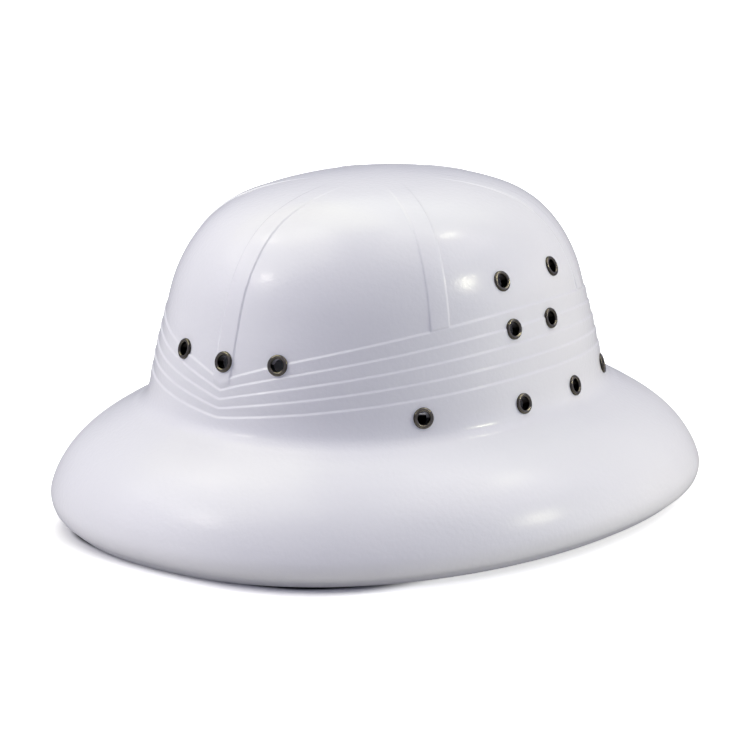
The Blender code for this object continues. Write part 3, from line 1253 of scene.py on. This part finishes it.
@dataclass(frozen=True)
class PlasticLook:
    """White moulded polyethylene, glossy on the crown and duller on the brim, which is handled.

    Its finely pitted skin breaks up the sharp gloss. The shader's coat gives the soft, even part of it.
    """

    colour: Colour = (0.835, 0.838, 0.850)
    pale: Colour = (0.860, 0.862, 0.872)
    # Colour of the painted shade in the sunk places of the relief, the depth where it is full, and its
    # share
    painted_recess_shade: Colour = (0.78, 0.785, 0.80)
    recess_shade_depth: float = 0.00045
    recess_shade_share: float = 0.3
    drift_scale: float = 14.0
    drift_detail: float = 3.0
    drift_ends: tuple[float, float] = (0.3, 0.7)
    patch_scale: float = 45.0
    patch_detail: float = 4.0
    patch_ends: tuple[float, float] = (0.25, 0.75)
    roughness_low: float = 0.12
    roughness_span: float = 0.04
    brim_dulling: float = 0.10
    brim_height: float = 0.036
    crown_height: float = 0.050
    specular: float = 0.25
    refraction: float = 1.5
    wave_scale: float = 60.0
    wave_height: float = 0.00003
    skin_scale: float = 480.0
    skin_height: float = 0.0001
    coat: float = 0.5
    coat_roughness: float = 0.31

    def make(self) -> bpy.types.Material:
        """Makes the material.

        Returns:
            The material.
        """
        finish = Finish("white moulded plastic")
        drift = finish.noise(self.drift_scale, self.drift_detail).smooth(*self.drift_ends)
        base = finish.mix(drift, self.colour, self.pale)
        relief = finish.mark(Mark.RELIEF)
        # Painted shade: the base colour is darkened where the moulded relief sinks below the plain surface.
        raised = relief.smooth(0.0, self.recess_shade_depth)
        recess_shade_mask = (0.0 - relief).smooth(0.0, self.recess_shade_depth) * (1 - raised)
        finish.connect("Base Color", finish.mix(recess_shade_mask * self.recess_shade_share, base, self.painted_recess_shade))
        patches = finish.noise(self.patch_scale, self.patch_detail).smooth(*self.patch_ends)
        brim = 1 - finish.height().smooth(self.brim_height, self.crown_height)
        worn = self.roughness_span * patches + self.brim_dulling * brim
        finish.connect("Roughness", self.roughness_low + worn)
        waves, skin = finish.noise(self.wave_scale), finish.noise(self.skin_scale)
        finish.connect("Normal", finish.bump(waves * self.wave_height + skin * self.skin_height, 1.0))
        finish.fix(IOR=self.refraction, Specular_IOR_Level=self.specular)
        finish.fix(Coat_Weight=self.coat, Coat_Roughness=self.coat_roughness)
        return finish.material


@dataclass(frozen=True)
class MetalLook:
    """Dark gunmetal plating. It is lighter on the crest of the ring, partly as rubbed wear and partly as a
    painted highlight, and darkest down the bore and round the flange's edges, as painted shade.
    """

    painted_metal_shade: Colour = (0.022, 0.019, 0.014)
    dark: Colour = (0.105, 0.095, 0.070)
    rubbed_and_glint: Colour = (0.30, 0.27, 0.20)
    bore_shade_end: float = 0.35
    rub_glint_start: float = 0.45
    rub_glint_least: float = 0.35
    blotch_scale: float = 500.0
    blotch_detail: float = 4.0
    blotch_roughness: float = 0.6
    blotch_ends: tuple[float, float] = (0.3, 0.7)
    fine_scale: float = 2600.0
    roughness_low: float = 0.12
    roughness_span: float = 0.14
    scuff_height: float = 0.00002

    def make(self) -> bpy.types.Material:
        """Makes the material.

        Returns:
            The material.
        """
        finish = Finish("dark gunmetal")
        blotch = finish.noise(self.blotch_scale, self.blotch_detail, self.blotch_roughness)
        blotch = blotch.smooth(*self.blotch_ends)
        crest = finish.mark(Mark.CREST)
        # Painted shade: the plating goes near black where the crest value is low, down the bore and round
        # the flange's edges.
        plated_and_shaded = finish.mix(crest.smooth(0.0, self.bore_shade_end), self.painted_metal_shade, self.dark)
        # The crest of the ring is lighter: partly rubbed wear, partly a painted highlight.
        rubbed_and_glint = crest.smooth(self.rub_glint_start, 1.0) * (self.rub_glint_least + (1 - self.rub_glint_least) * blotch)
        finish.connect("Base Color", finish.mix(rubbed_and_glint, plated_and_shaded, self.rubbed_and_glint))
        finish.connect("Roughness", self.roughness_low + self.roughness_span * (1 - blotch))
        finish.connect("Normal", finish.bump(finish.noise(self.fine_scale) + blotch, self.scuff_height))
        finish.fix(Metallic=1.0)
        return finish.material


@dataclass(frozen=True)
class FloorLook:
    """A white studio floor, lit by the lamps round it and glowing further out. Under the hat it is near
    black as painted shadow, and its glow fades in past the rim as a painted contact shadow.
    """

    # Colour of the painted shadow under the hat
    inside: Colour = (0.01, 0.01, 0.01)
    colour: Colour = (0.93, 0.93, 0.93)
    painted_shadow_oval: tuple[float, float] = (0.094, 0.1445)
    painted_shadow_fullness: float = 4.0
    shade_fade_start: float = 0.97
    shade_fade_end: float = 1.00
    contact_shadow_end: float = 1.12
    glow_near: float = 0.65
    glow_far: float = 1.0
    near: float = 0.45
    far: float = 1.6
    roughness: float = 0.6

    def make(self) -> bpy.types.Material:
        """Makes the material.

        Returns:
            The material.
        """
        finish = Finish("pale studio floor")
        # Painted shadow: near black base colour within the oval under the hat, and a glow that fades in
        # past the rim as a painted contact shadow.
        share = finish.share_out(self.painted_shadow_oval, self.painted_shadow_fullness)
        past_painted_shade = share.smooth(self.shade_fade_start, self.shade_fade_end)
        contact_shadow_fade = share.smooth(self.shade_fade_end, self.contact_shadow_end)
        far_share = finish.distance().smooth(self.near, self.far)
        glow = self.glow_near * contact_shadow_fade + (self.glow_far - self.glow_near) * far_share
        finish.connect("Base Color", finish.mix(past_painted_shade, self.inside, self.colour))
        finish.connect("Emission Color", finish.mix(glow, BLACK, WHITE))
        finish.matt(self.roughness)
        return finish.material


@dataclass(frozen=True)
class BounceLook:
    """The grey sheet under the floor, which sends light up at the hat.

    It is painted near black inside the hat, as painted shade, and glows in a ring round the rim.
    """

    # Colour of the painted shade inside the rim
    inside: Colour = (0.01, 0.01, 0.01)
    colour: Colour = (0.47, 0.47, 0.47)
    glow: Colour = (0.232, 0.220, 0.180)
    rim: tuple[float, float] = (0.137, 0.156)
    rim_fullness: float = 2.0
    shade_fade_start: float = 0.955
    shade_fade_end: float = 0.99
    ring_inner: float = 1.04
    ring_outer: float = 1.35
    ring_edge: float = 0.05
    roughness: float = 0.8

    def make(self) -> bpy.types.Material:
        """Makes the material.

        Returns:
            The material.
        """
        finish = Finish("grey bounce sheet")
        share = finish.share_out(self.rim, self.rim_fullness)
        # Painted shade: the sheet is near black inside the rim.
        past_painted_shade = share.smooth(self.shade_fade_start, self.shade_fade_end)
        finish.connect("Base Color", finish.mix(past_painted_shade, self.inside, self.colour))
        ends = (self.ring_inner, self.ring_outer)
        started, ended = (share.smooth(end - self.ring_edge, end + self.ring_edge) for end in ends)
        finish.connect("Emission Color", finish.mix(started * (1 - ended), BLACK, self.glow))
        finish.matt(self.roughness)
        return finish.material


@dataclass(frozen=True)
class BackdropLook:
    """A plain white backdrop that glows evenly."""

    roughness: float = 0.5

    def make(self) -> bpy.types.Material:
        """Makes the material.

        Returns:
            The material.
        """
        finish = Finish("white backdrop")
        finish.fix(Base_Color=(*BLACK, 1.0), Emission_Color=(*WHITE, 1.0))
        finish.matt(self.roughness)
        return finish.material


@dataclass(frozen=True)
class Lamp:
    """A soft square lamp aimed at the hat. Its azimuth is counted from the front to the hat's left side.

    A lamp that doesn't shine lights the plastic without being mirrored in it.
    """

    name: str
    azimuth: float
    elevation: float
    size: float
    power: float
    colour: Colour
    shines: bool = True
    distance: float = 1.6

    def place(self, target: Vector) -> bpy.types.Object:
        """Adds the lamp.

        Args:
            target: The point that it is aimed at.

        Returns:
            The lamp's object.
        """
        back = direction_from(self.azimuth, self.elevation)
        data = bpy.data.lights.new(self.name, "AREA")
        data.shape = "SQUARE"
        data.size = self.size
        data.energy = self.power
        data.color = self.colour
        lamp = new_object(self.name, data)
        lamp.location = target + back * self.distance
        lamp.rotation_euler = back.to_track_quat("Z", "Y").to_euler()
        lamp.visible_glossy = self.shines
        return lamp


def direction_from(azimuth: float, elevation: float) -> Vector:
    """Unit direction from the hat towards a place, from its azimuth and elevation in degrees."""
    turn, lift = math.radians(azimuth), math.radians(elevation)
    return Vector((math.sin(turn) * math.cos(lift), -math.cos(turn) * math.cos(lift), math.sin(lift)))


@dataclass(frozen=True)
class PhotoCamera:
    """The photograph's viewpoint. The aim lies a little beside and below the target."""

    azimuth: float = 38.77
    elevation: float = 13.14
    roll: float = -0.54
    distance: float = 1.3814
    focal_pixels: float = 3041.8
    frame_pixels: float = 750.0
    sensor: float = 36.0
    target: tuple[float, float, float] = (0.0, 0.0, 0.070)
    aim_left: float = 0.0015
    aim_below: float = 0.01364

    def place(self) -> bpy.types.Object:
        """Adds the camera and makes it the scene's own.

        Returns:
            The camera's object.
        """
        back = direction_from(self.azimuth, self.elevation)
        turn = math.radians(self.azimuth)
        right = Vector((math.cos(turn), math.sin(turn), 0.0))
        up = back.cross(right)
        roll = math.radians(self.roll)
        side = right * math.cos(roll) + up * math.sin(roll)
        over = up * math.cos(roll) - right * math.sin(roll)
        target = Vector(self.target)
        eye = target + back * self.distance
        aim = target - side * self.aim_left - over * self.aim_below
        behind = (eye - aim).normalized()
        side = (side - behind * side.dot(behind)).normalized()
        over = behind.cross(side)
        data = bpy.data.cameras.new("photo_camera")
        data.sensor_width = self.sensor
        data.lens = self.focal_pixels / self.frame_pixels * self.sensor
        camera = new_object(data.name, data)
        camera.matrix_world = Matrix.Translation(eye) @ Matrix((side, over, behind)).transposed().to_4x4()
        bpy.context.scene.camera = camera
        return camera


@dataclass
class Studio:
    """The floor, the backdrop, the lamps, the sky and the camera."""

    lamps: tuple[Lamp, ...] = (
        Lamp("left_high", -50.0, 58.0, 1.4, 8.6, (1.0, 1.0, 0.81)),
        Lamp("left_middle", -50.0, 30.0, 0.8, 9.3, (0.97, 0.93, 1.0), shines=False),
        Lamp("left_rear", -110.0, 58.0, 1.2, 2.1, (1.0, 0.97, 0.27)),
        Lamp("left_spot", -32.7, 40.6, 0.14, 1.0, (1.0, 0.95, 0.85)),
        Lamp("far_left_spot", -75.0, 55.3, 0.14, 0.3, (1.0, 0.95, 0.85)),
        Lamp("right_high", 126.0, 58.0, 1.2, 5.5, (1.0, 0.93, 0.86)),
        Lamp("right_middle", 126.0, 30.0, 1.4, 1.8, (0.56, 0.65, 1.0)),
        Lamp("right_low", 126.0, 6.0, 0.7, 5.3, (0.97, 1.0, 0.86), shines=False),
        Lamp("right_rear", 156.0, 6.0, 0.7, 6.7, (1.0, 0.88, 0.71), shines=False),
        Lamp("rear_high", 200.0, 58.0, 1.2, 2.4, (0.91, 1.0, 0.78)),
        Lamp("right_spot", 114.5, 27.0, 0.16, 2.5, (1.0, 0.99, 0.72)),
        Lamp("rear_spot", 149.5, 54.5, 0.16, 0.75, (0.99, 1.0, 0.73)),
    )
    target: tuple[float, float, float] = (0.0, 0.0, 0.075)
    floor_radius: float = 14.0
    floor_sides: int = 96
    bounce_radius: float = 3.0
    bounce_depth: float = 0.0006
    backdrop_turns: int = 48
    backdrop_rings: int = 24
    horizon: float = 0.25
    low_sky: Colour = (0.32, 0.32, 0.38)
    high_sky: Colour = (0.273, 0.276, 0.409)

    def build(self) -> None:
        """Builds the whole stage."""
        self._floor()
        self._backdrop()
        self._sky()
        for lamp in self.lamps:
            lamp.place(Vector(self.target))
        PhotoCamera().place()
        bpy.context.scene.view_settings.view_transform = "Standard"

    @staticmethod
    def _stand(name: str, draft: bmesh.types.BMesh, look: bpy.types.Material,
               hidden: tuple[Ray, ...]) -> None:
        """Adds a piece of the stage.

        Args:
            name: Its name.
            draft: Its draft mesh.
            look: Its material.
            hidden: The kinds of ray that don't meet it.
        """
        mesh = finished_mesh(name, draft)
        mesh.materials.append(look)
        piece = new_object(name, mesh)
        for ray in hidden:
            setattr(piece, f"visible_{ray.value}", False)

    def _disc(self, radius: float, height: float) -> bmesh.types.BMesh:
        """Drafts a level round sheet.

        Args:
            radius: Its radius.
            height: Its height.

        Returns:
            The draft.
        """
        draft = bmesh.new()
        bmesh.ops.create_circle(draft, cap_ends=True, segments=self.floor_sides, radius=radius)
        bmesh.ops.translate(draft, verts=draft.verts, vec=(0.0, 0.0, height))
        return draft

    def _floor(self) -> None:
        """Adds the white floor that is seen, and a grey one under it that sends light up at the hat."""
        shown = self._disc(self.floor_radius, 0.0)
        self._stand("studio_floor", shown, FloorLook().make(), (Ray.GLOSSY, Ray.DIFFUSE, Ray.SHADOW))
        bounce = self._disc(self.bounce_radius, -self.bounce_depth)
        self._stand("studio_bounce", bounce, BounceLook().make(), (Ray.GLOSSY, Ray.CAMERA))

    def _backdrop(self) -> None:
        """Adds a round backdrop that only the camera sees, so that it casts no light on the hat."""
        draft = bmesh.new()
        turns, rings = self.backdrop_turns, self.backdrop_rings
        bmesh.ops.create_uvsphere(draft, u_segments=turns, v_segments=rings, radius=self.floor_radius)
        hidden = (Ray.DIFFUSE, Ray.GLOSSY, Ray.TRANSMISSION, Ray.SHADOW)
        self._stand("studio_backdrop", draft, BackdropLook().make(), hidden)

    def _sky(self) -> None:
        """Sets a sky that goes from its low colour at the horizon to its high colour above."""
        world = bpy.data.worlds.new("studio_sky")
        bpy.context.scene.world = world
        world.use_nodes = True
        maker = NodeMaker(world.node_tree)
        direction = maker.add("ShaderNodeTexCoord").outputs["Generated"]
        height = maker.amount("ShaderNodeSeparateXYZ", {}, {"Vector": direction}, "Z")
        share = height.smooth(-self.horizon, self.horizon)
        colour = maker.mix(share, self.low_sky, self.high_sky)
        maker.tree.links.new(colour, world.node_tree.nodes["Background"].inputs["Color"])


@dataclass
class SunHelmet:
    """The whole hat: the shell with its relief and holes, and the eyelets in them."""

    nodes: Mapping[str, bpy.types.Object]
    hole_radius: float = 0.0036
    hole_depth: float = 0.0132
    hole_sides: int = 40
    eyelet_tilt: float = math.radians(1.2)
    seed: int = 7
    pleats: PleatBand = field(default_factory=PleatBand)
    strips: CrownStrips = field(default_factory=CrownStrips)
    eyelet: EyeletShape = field(default_factory=EyeletShape)
    form: HelmetForm = field(init=False)

    def __post_init__(self) -> None:
        """Takes the overall sizes from the frame."""
        low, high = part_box(SHELL_NODE)
        self.form = HelmetForm(high.x - low.x, high.y - low.y, high.z - low.z)

    def build(self) -> list[bpy.types.Object]:
        """Builds the shell and the eyelets and ties them to the frame.

        Returns:
            The finished pieces.
        """
        plastic, metal = PlasticLook().make(), MetalLook().make()
        blank = ShellBlank(self.form, self.pleats, self.strips).build()
        moulded = ShellRelief(self.form, self.pleats, self.strips, plastic).run(blank, "moulded_shell")
        names = [name for name in self.nodes if name.startswith(EYELET_PREFIX)]
        points = VentRows(self.form).cloud(names, moulded)
        holes = VentHoles(points, self.hole_radius, self.hole_depth, self.hole_sides, plastic)
        shell = holes.run(moulded, "helmet_shell")
        master = self.eyelet.build()
        eyelets = EyeletSet(master, metal, self.eyelet_tilt, self.seed).run(points, "vent_eyelets")
        bpy.data.objects.remove(master)
        self._tie(shell, Slot.PLASTIC, [SHELL_NODE])
        self._tie(eyelets, Slot.METAL, names)
        return [shell, eyelets]

    @staticmethod
    def _tie(piece: bpy.types.Object, slot: Slot, names: list[str]) -> None:
        """Makes a piece ride on the hat in place of its CAD nodes.

        Args:
            piece: The piece.
            slot: Not used.
            names: The nodes that it stands for.
        """
        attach(piece, BODY)
        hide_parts(*names)


def main() -> None:
    """Builds the hat and its stage."""
    logging.basicConfig(level=logging.INFO, format="%(message)s")
    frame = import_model()
    for piece in SunHelmet(frame["nodes"]).build():
        log.info("%s: %d faces", piece.name, len(piece.data.polygons))
    Studio().build()


if __name__ == "__main__":
    main()
